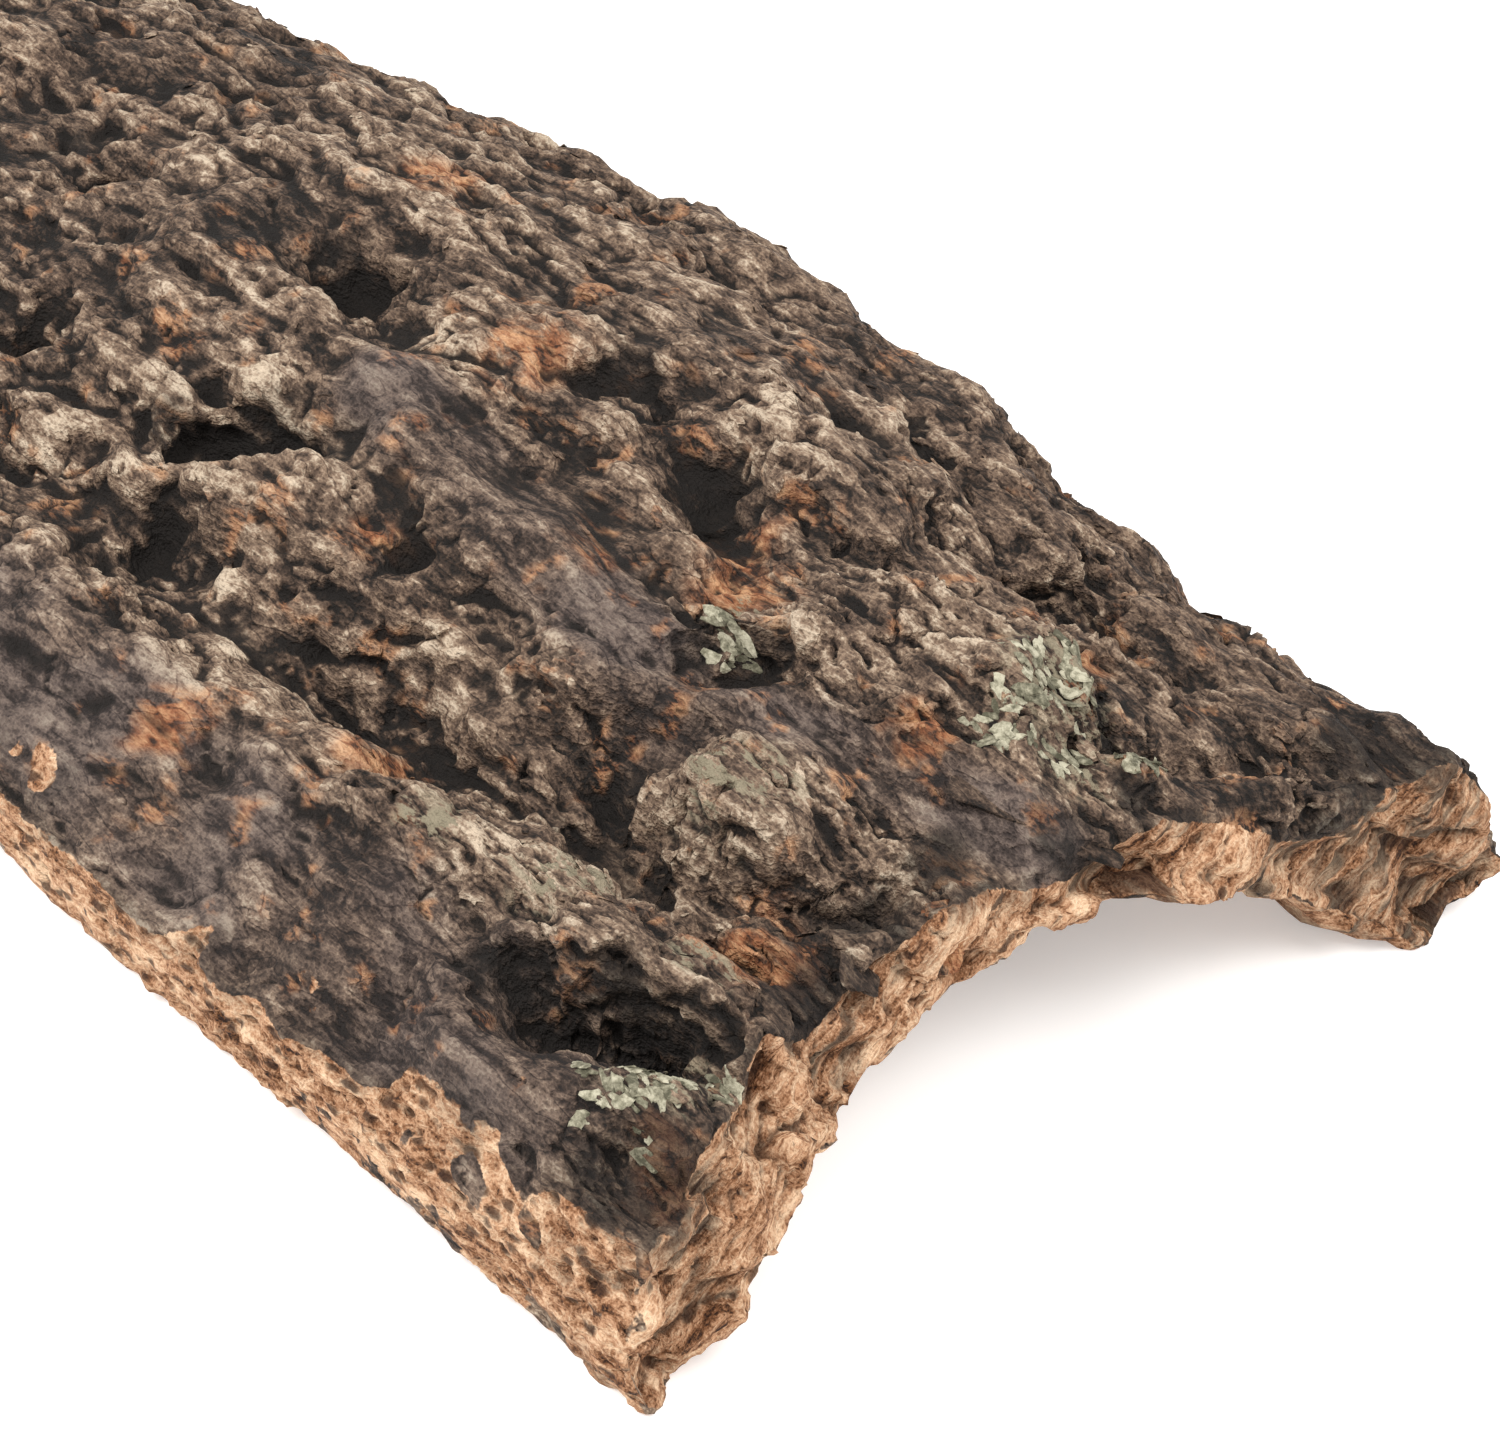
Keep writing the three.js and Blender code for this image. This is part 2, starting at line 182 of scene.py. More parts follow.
def noise(tree, place, size, detail=5.0, rough=0.6, warp=0.0):
    node = tree.nodes.new("ShaderNodeTexNoise")
    node.inputs["Scale"].default_value = 1 / size
    node.inputs["Detail"].default_value = detail
    node.inputs["Roughness"].default_value = rough
    node.inputs["Distortion"].default_value = warp
    tree.links.new(place, node.inputs["Vector"])
    return node.outputs[0]


def cells(tree, place, size):
    node = tree.nodes.new("ShaderNodeTexVoronoi")
    node.inputs["Scale"].default_value = 1 / size
    tree.links.new(place, node.inputs["Vector"])
    return node.outputs["Distance"]


def sumUp(tree, operation, a, b, clamp=False):
    node = tree.nodes.new("ShaderNodeMath")
    node.operation = operation
    node.use_clamp = clamp
    link(tree, a, node.inputs[0])
    link(tree, b, node.inputs[1])
    return node.outputs[0]


def span(tree, value, low, high, toLow=0.0, toHigh=1.0):
    node = tree.nodes.new("ShaderNodeMapRange")
    node.interpolation_type = "SMOOTHSTEP"
    link(tree, value, node.inputs["Value"])
    node.inputs["From Min"].default_value = low
    node.inputs["From Max"].default_value = high
    node.inputs["To Min"].default_value = toLow
    node.inputs["To Max"].default_value = toHigh
    return node.outputs["Result"]


def shades(tree, value, stops):
    node = tree.nodes.new("ShaderNodeValToRGB")
    ramp = node.color_ramp
    while len(ramp.elements) < len(stops):
        ramp.elements.new(0.5)
    for element, (place, code) in zip(ramp.elements, stops):
        element.position = place
        element.color = colour(code)
    link(tree, value, node.inputs["Fac"])
    return node.outputs["Color"]


def blend(tree, share, a, b):
    node = tree.nodes.new("ShaderNodeMix")
    node.data_type = "RGBA"
    link(tree, share, node.inputs[0])
    link(tree, a, node.inputs[6])
    link(tree, b, node.inputs[7])
    return node.outputs[2]


def painted(tree, name):
    node = tree.nodes.new("ShaderNodeAttribute")
    node.attribute_name = name
    return node.outputs["Fac"]


def weigh(tree, *terms):
    total = None
    for value, share in terms:
        part = sumUp(tree, "MULTIPLY", value, share)
        total = part if total is None else sumUp(tree, "ADD", total, part)
    return total


def bumps(tree, height, depth):
    node = tree.nodes.new("ShaderNodeBump")
    node.inputs["Strength"].default_value = 1.0
    node.inputs["Distance"].default_value = depth
    tree.links.new(height, node.inputs["Height"])
    return node.outputs["Normal"]


# the bark's finish, shared by the slab and its flakes

barkLook = {
    "darksAndShade": "#15100c",
    "brown": "#382b22",
    "middle": "#5b493c",
    "tan": "#836d5a",
    "pale": "#c2af98",
    "purpleDark": "#2e2624",
    "purple": "#5f5450",
    "rustDark": "#38241a",
    "rust": "#8a5434",
    "rustPale": "#c08f66",
    "char": "#14100e",
    "crust": "#857b66",
    "relief": 0.0022,
    "roughness": 0.84,
}


def barkShade(tree):
    look = barkLook
    plain = placeOn(tree)
    lengthwise = placeOn(tree, stretch=(0.36, 1, 1))
    broad = painted(tree, "broad")
    middle = noise(tree, lengthwise, 0.009, 4, 0.65, 0.8)
    fine = noise(tree, lengthwise, 0.0026, 3, 0.7)
    grain = noise(tree, plain, 0.0008, 1, 0.6)
    veins = sumUp(tree, "SUBTRACT", noise(tree, lengthwise, 0.0058, 1, 0.5), 0.5)
    cracks = span(tree, sumUp(tree, "ABSOLUTE", veins, 0), 0.0, 0.022)
    # painted light and shade: the hollow attribute in the tone makes the ridges lighter and the hollows
    # darker
    tone = weigh(
        tree, (middle, 0.40), (fine, 0.42), (grain, 0.18), (painted(tree, "hollow"), 0.09),
        (painted(tree, "tone"), 0.10), (painted(tree, "pale"), 0.05), (cracks, 0.065), (broad, 0.16),
    )
    tone = sumUp(tree, "SUBTRACT", tone, 0.188)
    base = shades(tree, tone, [
        (0.40, look["darksAndShade"]), (0.46, look["brown"]), (0.517, look["middle"]),
        (0.577, look["tan"]), (0.67, look["pale"]),
    ])
    purpleShare = sumUp(tree, "MULTIPLY", painted(tree, "smooth"), span(tree, broad, 0.35, 0.6, 0.3, 0.7))
    purple = blend(tree, span(tree, tone, 0.42, 0.6), colour(look["purpleDark"]), colour(look["purple"]))
    base = blend(tree, purpleShare, base, purple)
    strays = sumUp(tree, "MULTIPLY", painted(tree, "strays"), span(tree, fine, 0.42, 0.54))
    patches = sumUp(tree, "MULTIPLY", painted(tree, "rust"), span(tree, middle, 0.40, 0.52))
    strays = sumUp(tree, "MULTIPLY", strays, 0.6)
    rustShare = sumUp(tree, "MAXIMUM", strays, sumUp(tree, "MULTIPLY", patches, 0.85))
    rustTone = shades(tree, weigh(tree, (fine, 0.75), (cracks, 0.1), (middle, 0.2)), [
        (0.42, look["rustDark"]), (0.53, look["rust"]), (0.68, look["rustPale"]),
    ])
    base = blend(tree, rustShare, base, rustTone)
    crustShare = sumUp(tree, "MULTIPLY", painted(tree, "crust"), span(tree, fine, 0.50, 0.56))
    base = blend(tree, crustShare, base, colour(look["crust"]))
    sooty = span(tree, middle, 0.38, 0.56, 0.5, 1.0)
    charShare = sumUp(tree, "MULTIPLY", painted(tree, "char"), sooty, True)
    base = blend(tree, sumUp(tree, "MULTIPLY", charShare, 0.88), base, colour(look["char"]))
    # painted shade: the deeper hollows are blended towards the darkest bark colour
    depth = span(tree, painted(tree, "hollow"), -0.08, -0.7, 0, 0.92)
    base = blend(tree, depth, base, colour(look["darksAndShade"]))
    # painted shade: the listed pits and pit lines, already sunk into the mesh, are also blended towards
    # the darkest bark colour
    patchy = span(tree, middle, 0.62, 0.42, 0.35, 0.85)
    paintedPitShade = sumUp(tree, "MULTIPLY", painted(tree, "pit"), patchy)
    base = blend(tree, paintedPitShade, base, colour(look["darksAndShade"]))
    return base, weigh(tree, (fine, 1.0), (grain, 0.4))


def dress(tree, shader, shade, relief, roughness):
    base, height = shade
    link(tree, base, shader.inputs["Base Color"])
    link(tree, bumps(tree, height, relief), shader.inputs["Normal"])
    shader.inputs["Roughness"].default_value = roughness
    shader.inputs["Specular IOR Level"].default_value = 0.3


def barkFinish():
    material, tree, shader = newMaterial("flakeFinish")
    dress(tree, shader, barkShade(tree), barkLook["relief"], barkLook["roughness"])
    return material


# the cork's finish: sawn flank and sawn end, torn end, underside

corkLook = {
    "light": "#e0be9c",
    "middle": "#b38867",
    "dark": "#7a5134",
    "poreAndShade": "#2d1a10",
    "poreSize": 0.0038,
    "tornTurn": (0.6, 0, 0),
    "edge": (0.755, 0.795),
    "relief": 0.0020,
    "roughness": 0.88,
}


def corkShade(tree, kind):
    look = corkLook
    stretch = {"sawn": (0.5, 1, 1.2), "torn": (0.8, 0.24, 1.7), "belly": (0.28, 1, 1)}[kind]
    place = placeOn(tree, stretch, look["tornTurn"] if kind == "torn" else (0, 0, 0))
    middle = noise(tree, place, 0.010, 4, 0.62, 0.7)
    fine = noise(tree, place, 0.0022, 3, 0.7, 0.4)
    grain = noise(tree, placeOn(tree), 0.0006, 1, 0.6)
    tone = weigh(tree, (middle, 0.42), (fine, 0.42), (grain, 0.16))
    base = shades(tree, tone, [
        (0.385, look["poreAndShade"]), (0.44, look["dark"]), (0.50, look["middle"]), (0.59, look["light"]),
    ])
    size = look["poreSize"] * {"sawn": 1, "torn": 1.6, "belly": 2.2}[kind]
    reach = {"sawn": 0.40, "torn": 0.20, "belly": 0.17}[kind]
    pores = span(tree, cells(tree, place, size), reach, reach * 0.45)
    base = blend(tree, sumUp(tree, "MULTIPLY", pores, 0.82), base, colour(look["poreAndShade"]))
    sooty = span(tree, middle, 0.44, 0.58)
    charShare = sumUp(tree, "MULTIPLY", painted(tree, "char"), sooty, True)
    base = blend(tree, sumUp(tree, "MULTIPLY", charShare, 0.85), base, colour(barkLook["char"]))
    # painted shade: the deeper hollows of the bare cork are blended towards the pore colour
    depth = span(tree, painted(tree, "hollow"), -0.08, -0.8, 0, 0.8)
    base = blend(tree, depth, base, colour(look["poreAndShade"]))
    height = weigh(tree, (middle, 0.5), (fine, 1.0), (grain, 0.25), (pores, -0.35))
    return base, height


def slabFinish():
    # bark and the three kinds of bare cork meet along ragged lines, finer than the mesh
    material, tree, shader = newMaterial("slabFinish")
    dress(tree, shader, barkShade(tree), barkLook["relief"], barkLook["roughness"])
    ragged = noise(tree, placeOn(tree), 0.007, 4, 0.65)
    shown = shader.outputs[0]
    for kind in ("sawn", "torn", "belly"):
        cork = tree.nodes.new("ShaderNodeBsdfPrincipled")
        dress(tree, cork, corkShade(tree, kind), corkLook["relief"], corkLook["roughness"])
        mix = tree.nodes.new("ShaderNodeMixShader")
        edge = weigh(tree, (painted(tree, kind), 1.0), (ragged, 0.55))
        link(tree, span(tree, edge, *corkLook["edge"]), mix.inputs[0])
        link(tree, shown, mix.inputs[1])
        link(tree, cork.outputs[0], mix.inputs[2])
        shown = mix.outputs[0]
    link(tree, shown, tree.nodes["Material Output"].inputs["Surface"])
    return material


lichenLook = {
    "shade": "#4d4a38",
    "middle": "#817c67",
    "pale": "#b3ad96",
    "relief": 0.0007,
    "roughness": 0.85,
}


def lichenFinish():
    look = lichenLook
    material, tree, shader = newMaterial("lichenFinish")
    plain = placeOn(tree)
    fine = noise(tree, plain, 0.0018, 5, 0.65)
    grain = noise(tree, plain, 0.0006, 3, 0.6)
    tone = weigh(tree, (fine, 0.8), (grain, 0.2), (painted(tree, "tone"), 0.26))
    tone = sumUp(tree, "SUBTRACT", tone, 0.13)
    base = shades(tree, tone, [(0.36, look["shade"]), (0.5, look["middle"]), (0.64, look["pale"])])
    height = weigh(tree, (fine, 0.6), (grain, 0.4))
    link(tree, base, shader.inputs["Base Color"])
    link(tree, bumps(tree, height, look["relief"]), shader.inputs["Normal"])
    shader.inputs["Roughness"].default_value = look["roughness"]
    return material


slabMaterial = slabFinish()
flakeMaterial = barkFinish()
lichenMaterial = lichenFinish()
print("finishes made")


# the slab

slabLook = {
    "shift": (2.4, -5.24),
    "sawnBefore": -0.1085,
    "sawnBelow": 0.034,
    "tornBelly": (0.205, 0.235),
    "finestFrom": 0.125,
    "triangles": 194000,
    "ledge": 0.0013,
    "pitDepth": 0.0026,
    "deepest": -0.0042,
    "highest": 0.0026,
    "swellSize": 0.012,
    "swell": 0.0022,
    "swellStretch": (2.4, 1, 1),
    "overTop": 0.0016,
    "tornEdge": [
        (-120, 255), (-104, 249), (-90, 245), (-80, 240), (-66, 231), (-50, 227), (-34, 225),
        (-18, 224), (3, 226), (20, 230), (38, 234), (55, 239), (74, 245), (93, 249), (108, 252),
        (119, 256), (124, 258),
    ],
    "rustSpots": [
        (47, 31, 16), (-30, 65, 14), (74, -85, 9), (63, -25, 8), (97, 8, 7), (107, 2, 8),
        (131, 19, 14), (113, -60, 14), (191, 15, 8), (192, 64, 7), (239, -89, 9), (205, -40, 16),
        (120, 30, 12),
    ],
    "smoothLines": [
        ((30, 3), (150, -12), 16), ((-70, -98), (205, -93), 25), ((150, -10), (225, 18), 11),
    ],
    "charSpots": [
        (250, 78, 13), (256, 96, 13), (248, 112, 14), (246, 60, 8), (252, 104, 10), (228, 40, 7),
        (235, -100, 16), (240, -88, 12), (222, -40, 14), (214, -20, 13), (214, 0, 12),
        (240, 95, 18), (225, 22, 8), (205, -70, 8),
    ],
    "paleSpots": [
        (178, -21, 24), (173, -59, 14), (206, -54, 13), (150, -64, 14), (120, -100, 12),
        (20, 20, 14), (-20, -50, 14), (90, 60, 20), (60, -60, 10),
    ],
    "pitSpots": [
        (-119, 19, 10), (-25, 29, 11), (17, -18, 14), (20, -51, 9), (69, -22, 9), (61, 45, 11),
        (104, 37, 10), (171, 79, 10), (152, -30, 8), (158, -40, 8), (173, -39, 6), (140, -1, 7),
        (149, 5, 6), (-60, -30, 9), (-104, 61, 9),
    ],
    "pitLines": [
        ((150, -44), (176, -42), 6), ((172, -82), (202, -71), 5), ((202, -71), (224, -62), 4),
        ((-6, -32), (34, -15), 9), ((186, 62), (214, 48), 5), ((132, 4), (156, 8), 5),
    ],
    "lichenSpots": [
        (199, 42, 12), (200, 29, 8), (146, 7, 6), (225, -84, 12), (232, -70, 7), (220, 47, 8),
        (213, 33, 7),
    ],
    "crustSpots": [
        (222, -78, 15), (200, 45, 16), (215, 35, 10), (138, 15, 7), (170, -58, 14),
        (205, -54, 10), (178, -21, 14), (140, -66, 9),
    ],
}


def spotAt(x, y):
    # the spots and lines are in the solids' own millimetres, before the shift over their origin
    return (x + slabLook["shift"][0]) / 1000, (y + slabLook["shift"][1]) / 1000


def nearSpots(points, spots):
    share = np.zeros(len(points))
    for x, y, reach in spots:
        px, py = spotAt(x, y)
        away = np.hypot(points[:, 0] - px, points[:, 1] - py)
        share = np.maximum(share, 1 - fade(away, 0.35 * reach / 1000, reach / 1000))
    return share


def wander(points, reach=0.0045, size=0.011):
    # the same points pushed about, so that a patch drawn with them gets a ragged border
    pushes = []
    for point in points:
        p = Vector(point) / size
        pushes.append(perlin.noise_vector(p) + 0.5 * perlin.noise_vector(p * 2.7))
    return points + reach * np.array(pushes) * [1.5, 1, 1]


def nearLines(points, lines):
    share = np.zeros(len(points))
    for start, end, reach in lines:
        a = np.array(spotAt(*start))
        b = np.array(spotAt(*end))
        t = np.clip((points[:, :2] - a) @ (b - a) / ((b - a) @ (b - a)), 0, 1)
        away = np.linalg.norm(points[:, :2] - a - t[:, None] * (b - a), axis=1)
        share = np.maximum(share, 1 - fade(away, 0.4 * reach / 1000, reach / 1000))
    return share


def sortFaces(obj):
    # which coarse faces are sawn flank, torn end, sawn end or underside: the rest is bark
    mesh = obj.data
    edge = sorted(spotAt(x, y)[::-1] for y, x in slabLook["tornEdge"])
    edgeY, edgeX = np.array(edge).T
    kinds = np.zeros(len(mesh.polygons), int)
    for face in mesh.polygons:
        x, y, z = face.center
        nx, ny, nz = face.normal
        if nz < -0.25:
            kinds[face.index] = 4
        elif ny < -0.6 and y < slabLook["sawnBefore"] and z < slabLook["sawnBelow"]:
            kinds[face.index] = 1
        elif nx > 0.3 and x > np.interp(y, edgeY, edgeX) - 0.001:
            kinds[face.index] = 2
        elif nx < -0.7 and x < cadLow.x + 0.006:
            kinds[face.index] = 3
    names = ["bark", "sawn", "torn", "end", "belly"]
    total = np.zeros((len(mesh.vertices), 5))
    for face in mesh.polygons:
        for number in face.vertices:
            total[number, kinds[face.index]] += 1
    total /= total.sum(axis=1)[:, None]
    for k, name in enumerate(names):
        giveAttribute(mesh, name, total[:, k])


def swellOut(obj, group):
    # soft swells, longer along the slab than across it
    texture = bpy.data.textures.new("swells", "CLOUDS")
    texture.noise_scale = slabLook["swellSize"]
    texture.noise_depth = 2
    guide = bpy.data.objects.new("swellsGuide", None)
    guide.scale = slabLook["swellStretch"]
    scene.collection.objects.link(guide)
    bpy.context.view_layer.update()
    applyModifier(
        obj, "DISPLACE", "swells", texture=texture, texture_coords="OBJECT", texture_coords_object=guide,
        strength=slabLook["swell"], mid_level=0.5, vertex_group=group,
    )
    bpy.data.objects.remove(guide)
    bpy.data.textures.remove(texture)


def subdivideWhere(obj, wanted):
    # splits the faces whose corners all pass
    mesh = obj.data
    for kind in (mesh.vertices, mesh.edges, mesh.polygons):
        kind.foreach_set("select", np.zeros(len(kind), bool))
    corners = np.empty(len(mesh.loops), np.int32)
    mesh.loops.foreach_get("vertex_index", corners)
    starts = np.empty(len(mesh.polygons), np.int32)
    mesh.polygons.foreach_get("loop_start", starts)
    mesh.polygons.foreach_set("select", np.logical_and.reduceat(wanted[corners], starts))
    pick(obj)
    bpy.ops.object.mode_set(mode="EDIT")
    bpy.ops.mesh.select_mode(type="FACE")
    bpy.ops.mesh.subdivide(number_cuts=1, smoothness=0.0)
    bpy.ops.object.mode_set(mode="OBJECT")


def terrace(value, sharp=0.35):
    step = np.floor(value)
    return step + fade(value - step, 0.5 - sharp / 2, 0.5 + sharp / 2)


def layerBark(points, bark, smooth):
    # long ledges of old bark, one over the other, with clefts between them
    lifts = np.zeros(len(points))
    ledge = slabLook["ledge"]
    chosen = np.nonzero(bark > 0.02)[0]
    values = np.zeros((len(chosen), 5))
    for row, number in enumerate(chosen):
        x, y, z = points[number] * 1000
        bend = perlin.noise_vector(Vector((x / 17, y / 13, z / 13)))
        spot = Vector((x + 7 * bend[0], y + 5 * bend[1], z + 5 * bend[2]))
        long = Vector((spot.x / 4.2, spot.y, spot.z))
        values[row, 0] = perlin.fractal(long / 9.5, 0.9, 2.1, 3)
        values[row, 1] = perlin.fractal(long / 3.4 + Vector((9, 3, 5)), 0.9, 2.1, 2)
        near = perlin.voronoi(Vector((long.x * 1.6, long.y, long.z)) / 11)[0]
        values[row, 2] = near[1] - near[0]
        values[row, 3] = perlin.noise(spot / 5)
        values[row, 4] = perlin.noise(Vector((x / 34, y / 19, z / 19)))
    calm = 0.45 + 0.75 * fade(values[:, 4], -0.3, 0.35)
    coarse = terrace(values[:, 0] * 3.4, 0.28) * ledge * 0.95
    small = terrace(values[:, 1] * 1.8 + 0.3) * ledge * 0.45
    high = (coarse + small) * calm
    cleft = -ledge * 1.5 * (1 - fade(values[:, 2], 0.0, 0.10)) * fade(values[:, 3], -0.15, 0.3)
    lifts[chosen] = (high + cleft) * bark[chosen] * (1 - 0.62 * smooth[chosen])
    return np.clip(lifts, slabLook["deepest"], slabLook["highest"])


def pitShare(wandering):
    spots = nearSpots(wandering, slabLook["pitSpots"])
    return np.maximum(spots, nearLines(wandering, slabLook["pitLines"]))


def layerCork(points, torn, sawn):
    # broken facets, fibres and torn lips on the torn end, pits on the sawn flank
    out = np.zeros(len(points))
    for number in np.nonzero(np.maximum(torn, sawn) > 0.02)[0]:
        x, y, z = points[number] * 1000
        bend = perlin.noise_vector(Vector((x / 9, y / 9, z / 7)))
        if torn[number] > sawn[number]:
            along, across = y + 0.7 * z, z - 0.7 * y
            fibre = Vector((x / 7 + bend[0], along / 10 + bend[1], across / 2.4 + bend[2]))
            lip = perlin.noise(Vector((x / 20, y / 11, z / 16)))
            near, cores = perlin.voronoi(Vector((x / 19, y / 12, z / 8)) + 0.35 * bend)[:2]
            own, beyond = (perlin.noise(core * 9.7) for core in cores[:2])
            inside = float(fade(np.array(near[1] - near[0]), 0.0, 0.22))
            facet = (own + beyond) / 2 + (own - beyond) / 2 * inside
            fibres = perlin.fractal(fibre, 0.8, 2.2, 3)
            out[number] = torn[number] * (0.0014 * fibres + 0.0054 * lip + 0.0084 * facet)
        else:
            near = perlin.voronoi(Vector((x / 7.6 + 0.3 * bend[0], y / 4.2, z / 3.4 + 0.3 * bend[2])))[0]
            pit = 1 - fade(np.array(near[0]), 0.12, 0.5)
            rough = perlin.fractal(Vector((x / 5, y / 5, z / 3)), 0.8, 2.2, 3)
            out[number] = sawn[number] * (-0.0022 * float(pit) + 0.0014 * rough)
    return out


def buildSlab():
    slab = copyOfNode("cork_slab", "corkSlab")
    bpy.ops.object.mode_set(mode="EDIT")
    bpy.ops.mesh.select_all(action="SELECT")
    bpy.ops.mesh.tris_convert_to_quads(face_threshold=math.radians(70), shape_threshold=math.radians(100))
    bpy.ops.object.mode_set(mode="OBJECT")
    sortFaces(slab)
    applyModifier(slab, "SUBSURF", "roundOff", levels=1, render_levels=1)
    mesh = slab.data
    subdivideWhere(slab, readAttribute(mesh, "belly") < 0.95)
    points = readVectors(mesh, "co")
    subdivideWhere(slab, (readAttribute(mesh, "belly") < 0.7) & (points[:, 0] > slabLook["finestFrom"]))
    print("slab faces", len(mesh.polygons))
    bark, torn, sawn = (fade(readAttribute(mesh, name), 0.2, 0.9) for name in ("bark", "torn", "sawn"))
    belly = readAttribute(mesh, "belly")
    nearEnd = fade(readVectors(mesh, "co")[:, 0], *slabLook["tornBelly"])
    torn = np.maximum(torn, 0.75 * belly * nearEnd)
    giveGroup(slab, "barkArea", bark)
    swellOut(slab, "barkArea")
    points = readVectors(mesh, "co")
    normals = readVectors(mesh, "normal")
    smooth = nearLines(points, slabLook["smoothLines"])
    pits = pitShare(wander(points))
    raised = layerBark(points, bark, smooth) - slabLook["pitDepth"] * pits * bark
    raised += layerCork(points, torn, sawn)
    moved = points + normals * raised[:, None]
    moved[:, 2] = np.clip(moved[:, 2], 0, cadHigh.z + slabLook["overTop"])
    mesh.vertices.foreach_set("co", moved.astype(np.float32).ravel())
    mesh.update()
    points = readVectors(mesh, "co")
    normals = readVectors(mesh, "normal")
    # hollow: how far each point stands above (positive) or below (negative) its near and wide neighbours;
    # the finishes paint shade into the hollows and light onto the ridges with it, and the flakes are
    # placed by it
    near = ((points - averageOut(mesh, points, 4)) * normals).sum(axis=1)
    wide = ((points - averageOut(mesh, points, 45)) * normals).sum(axis=1)
    hollow = np.clip(near / 0.0005, -1, 1) * 0.5 + np.clip(wide / 0.003, -1, 1) * 0.6
    giveAttribute(mesh, "hollow", hollow)
    giveAttribute(mesh, "smooth", smooth)
    giveAttribute(mesh, "tone", np.full(len(points), 0.5))
    giveAttribute(mesh, "sawn", np.maximum(readAttribute(mesh, "sawn"), readAttribute(mesh, "end")))
    giveAttribute(mesh, "pit", pits)
    broad = np.array([perlin.fractal(Vector(p) / 0.04, 1.0, 2.0, 3) for p in points])
    farAway = fade(-points[:, 0], -0.06, 0.14)
    giveAttribute(mesh, "broad", 0.5 + 0.11 * broad / broad.std() - 0.1 * farAway)
    strays = np.array([perlin.fractal(Vector(p) / 0.012, 0.7, 2.0, 4) for p in points])
    giveAttribute(mesh, "strays", fade(strays, *np.quantile(strays, (0.88, 0.97))))
    general = averageOut(mesh, normals, 45)
    general /= np.linalg.norm(general, axis=1)[:, None]
    giveAttribute(mesh, "level", fade((normals * general).sum(axis=1), 0.62, 0.86))
    wandering = wander(points)
    for name in ("rust", "char", "pale", "crust", "lichen"):
        giveAttribute(mesh, name, nearSpots(wandering, slabLook[name + "Spots"]))
    scorch = fade(np.array([perlin.noise(Vector(p) / 0.016) for p in points]), -0.2, 0.2)
    rims = readAttribute(mesh, "torn") + 0.5 * readAttribute(mesh, "sawn")
    rims = np.clip(4 * rims * readAttribute(mesh, "bark"), 0, 1) * scorch
    giveAttribute(mesh, "char", np.maximum(readAttribute(mesh, "char"), rims))
    mesh.calc_loop_triangles()
    share = min(1, slabLook["triangles"] / len(mesh.loop_triangles))
    applyModifier(slab, "DECIMATE", "thinOut", ratio=share)
    mesh = slab.data
    settled = readVectors(mesh, "co")
    settled[:, 2] = np.maximum(settled[:, 2], 0)
    mesh.vertices.foreach_set("co", settled.astype(np.float32).ravel())
    mesh.update()
    mesh.materials.append(slabMaterial)
    pick(slab)
    bpy.ops.object.shade_smooth()
    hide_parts("cork_slab")
    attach(slab, "root")
    mesh.calc_loop_triangles()
    print("slab shaped", len(mesh.loop_triangles), "triangles")
    return slab


corkSlab = buildSlab()


# bark flakes

flakeLook = {
    "large": {"every": 0.0095, "size": (0.0045, 0.0078), "tilt": 0.05, "lift": -0.0004, "seed": 4},
    "medium": {"every": 0.0044, "size": (0.0026, 0.0055), "tilt": 0.13, "lift": -0.0001, "seed": 11},
    "thickness": 0.055,
    "rim": 13,
    "overTop": 0.0018,
}


def modelFlake(number, collection):
    # a thin ragged scale, one end of it curled up, about a unit long
    draw = random.Random(100 + number)
    rim = flakeLook["rim"]
    bpy.ops.object.select_all(action="DESELECT")
    bpy.ops.mesh.primitive_circle_add(vertices=rim, radius=0.5, fill_type="NGON", location=(0, 0, 0))
    flake = bpy.context.object
    flake.name = f"flakeShape{number}"
    bpy.ops.object.mode_set(mode="EDIT")
    bpy.ops.mesh.select_all(action="SELECT")
    bpy.ops.transform.resize(value=(1, draw.uniform(0.34, 0.62), 1))
    bpy.ops.mesh.extrude_region_move(TRANSFORM_OT_translate={"value": (0, 0, flakeLook["thickness"])})
    bpy.ops.transform.resize(value=(0.86, 0.86, 1))
    bpy.ops.mesh.poke()
    bpy.ops.object.mode_set(mode="OBJECT")
    curl = draw.uniform(0.0, 0.32)
    cup = draw.uniform(-0.5, -0.1)
    ragged = [draw.uniform(0.55, 1.25) for _ in range(rim)]
    for vertex in flake.data.vertices:
        x, y, z = vertex.co
        reach = math.hypot(x, y)
        if reach > 0.05:
            turn = math.atan2(y, x) % (2 * math.pi)
            grow = ragged[round(turn / (2 * math.pi) * rim) % rim]
            x, y = x * grow, y * grow
        z += curl * max(0, x) ** 2 + cup * y * y - 0.1 * abs(min(0, x)) + draw.uniform(-0.015, 0.015)
        vertex.co = (x, y, z)
    bpy.ops.object.select_all(action="DESELECT")
    for other in flake.users_collection:
        other.objects.unlink(flake)
    collection.objects.link(flake)


